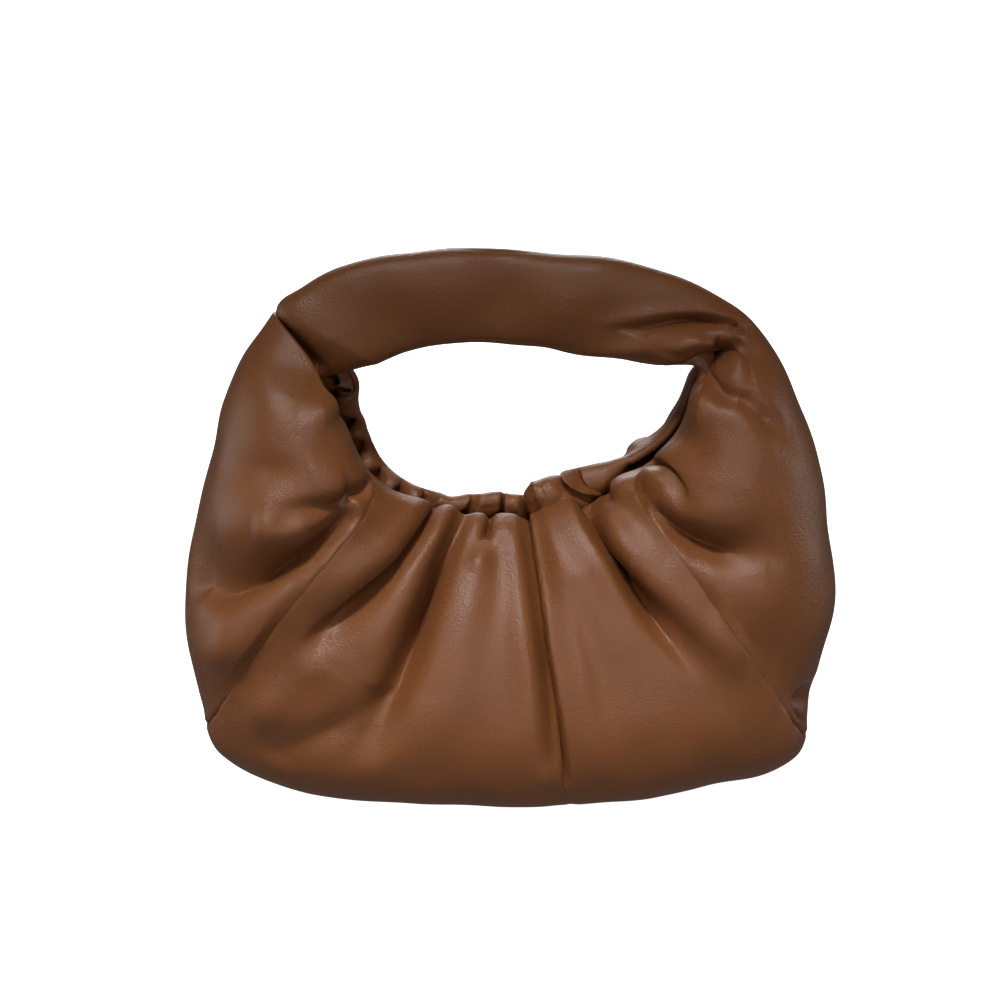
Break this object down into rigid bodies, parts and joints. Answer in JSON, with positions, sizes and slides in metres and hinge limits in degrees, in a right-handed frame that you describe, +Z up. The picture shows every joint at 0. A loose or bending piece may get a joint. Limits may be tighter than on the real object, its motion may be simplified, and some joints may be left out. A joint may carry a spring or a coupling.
{
  "type": "gathered leather handbag",
  "caption": "Small slouchy leather handbag: panels gathered into pleats at an open mouth, two rounded sides and a short, wide arched handle.",
  "frame": {"origin": "middle of the base, on the surface that the bag stands on", "axes": "+X to the bag's right as seen from the front, +Y from the front to the back, +Z up towards the handle"},
  "size_m": [0.2813, 0.1087, 0.2387],
  "materials": {
    "leather": "semi-matte smooth leather with a soft sheen"
  },
  "bodies": {
    "root": {"front_panel": "leather", "back_panel": "leather", "base_panel": "leather", "left_side": "leather", "right_side": "leather", "handle": "leather"}
  },
  "joints": []
}
